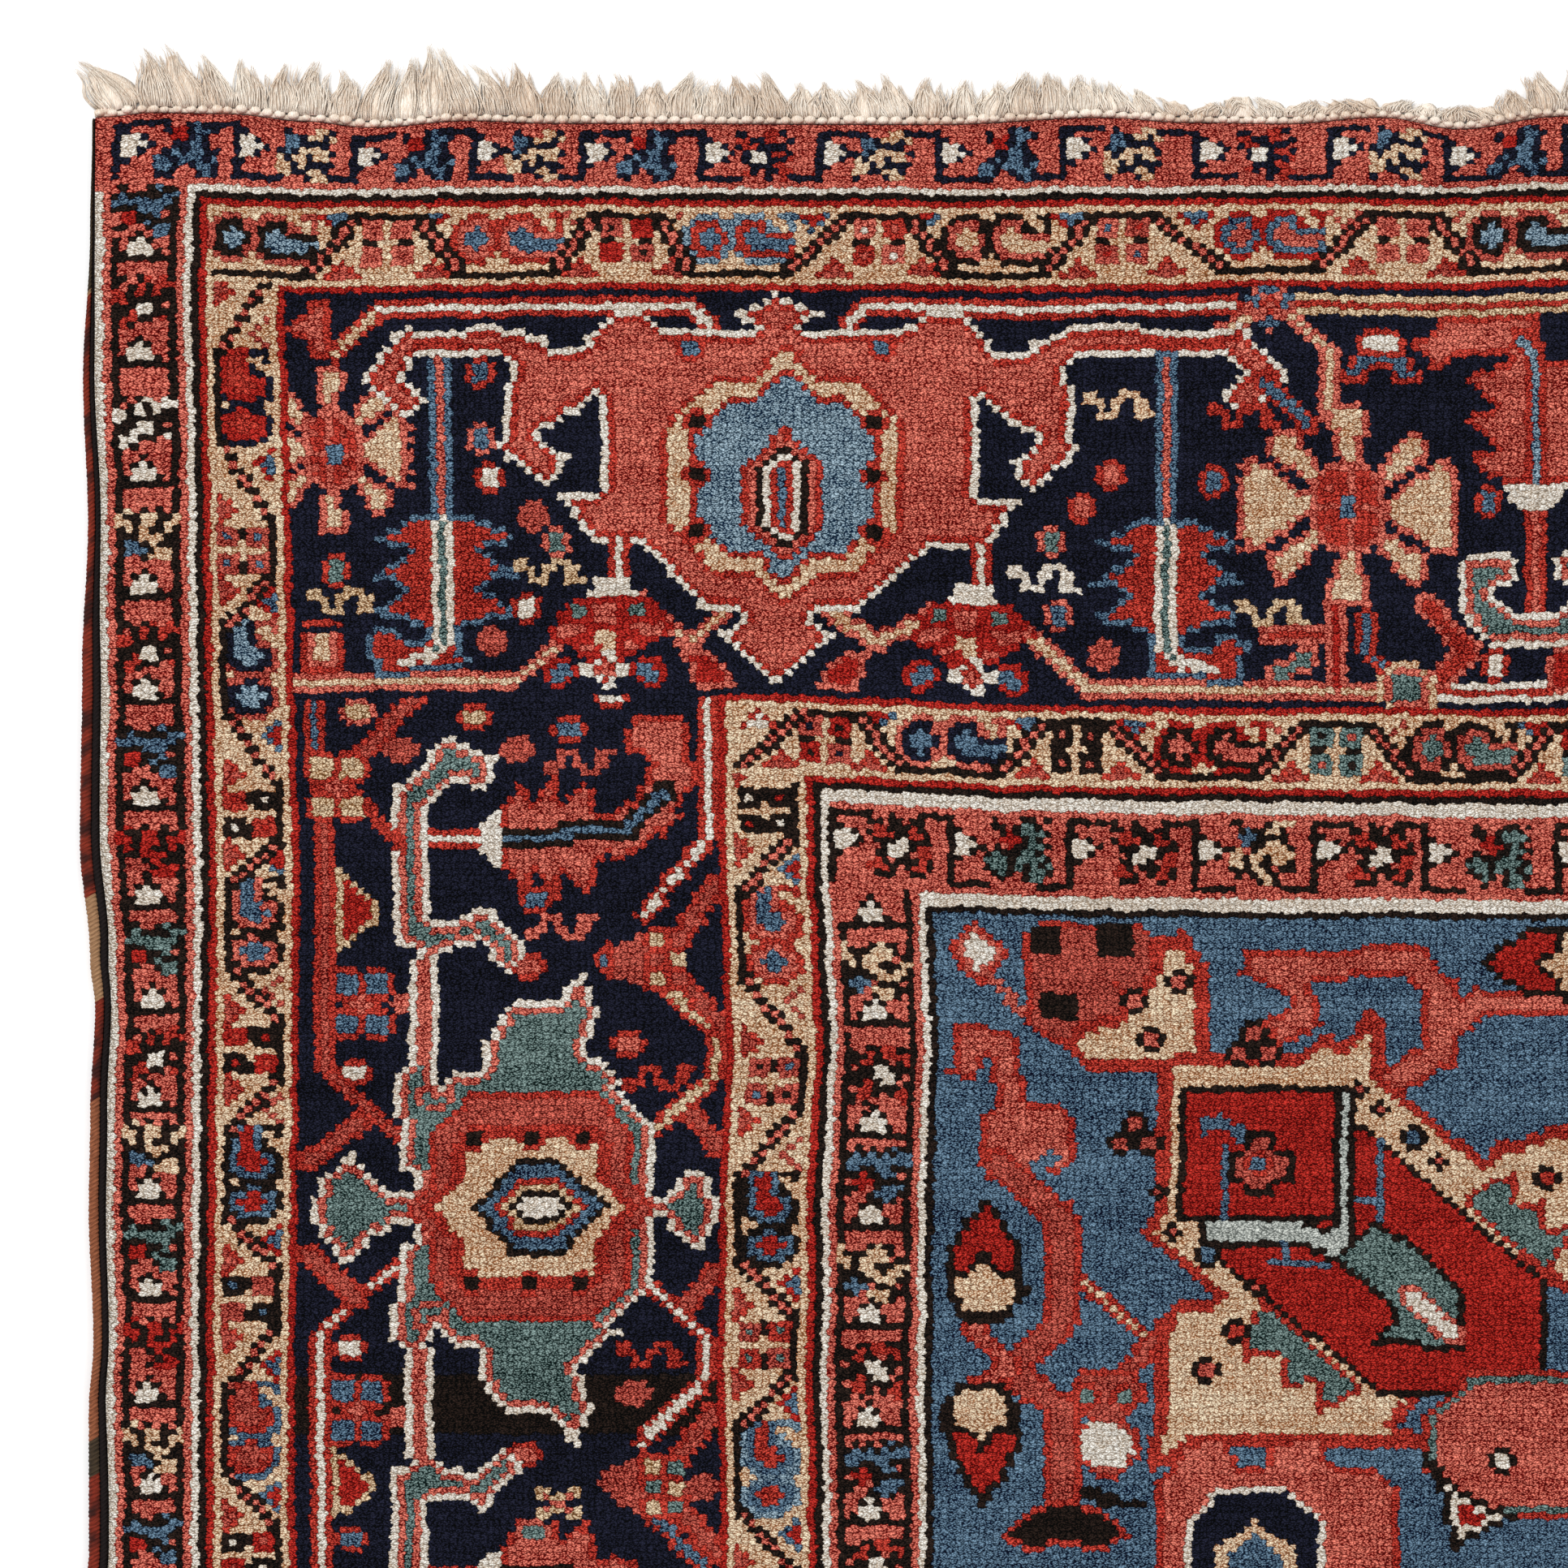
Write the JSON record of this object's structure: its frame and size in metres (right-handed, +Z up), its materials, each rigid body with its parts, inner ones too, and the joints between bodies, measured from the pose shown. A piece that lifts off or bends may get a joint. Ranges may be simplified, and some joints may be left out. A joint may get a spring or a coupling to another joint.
{
  "type": "persian rug",
  "caption": "Flat hand-knotted wool rug with patterned borders and field, overcast side cords and knotted cotton fringes at both ends.",
  "frame": {"origin": "centre of the rug's bounding box, at its underside where it lies on the floor", "axes": "+X across the rug to the right, +Y along its length, +Z up out of the pile"},
  "size_m": [2.0171, 2.9684, 0.009],
  "materials": {
    "pile_wool": "matt knotted wool pile in salmon, red, navy, blue, camel and ivory",
    "selvedge_wool": "matt overcast wool yarn",
    "fringe_cotton": "matt frayed cotton yarn"
  },
  "bodies": {
    "root": {"rug_body": "pile_wool", "selvedge_left": "selvedge_wool", "selvedge_right": "selvedge_wool", "fringe_top": "fringe_cotton", "fringe_bottom": "fringe_cotton"}
  },
  "joints": []
}
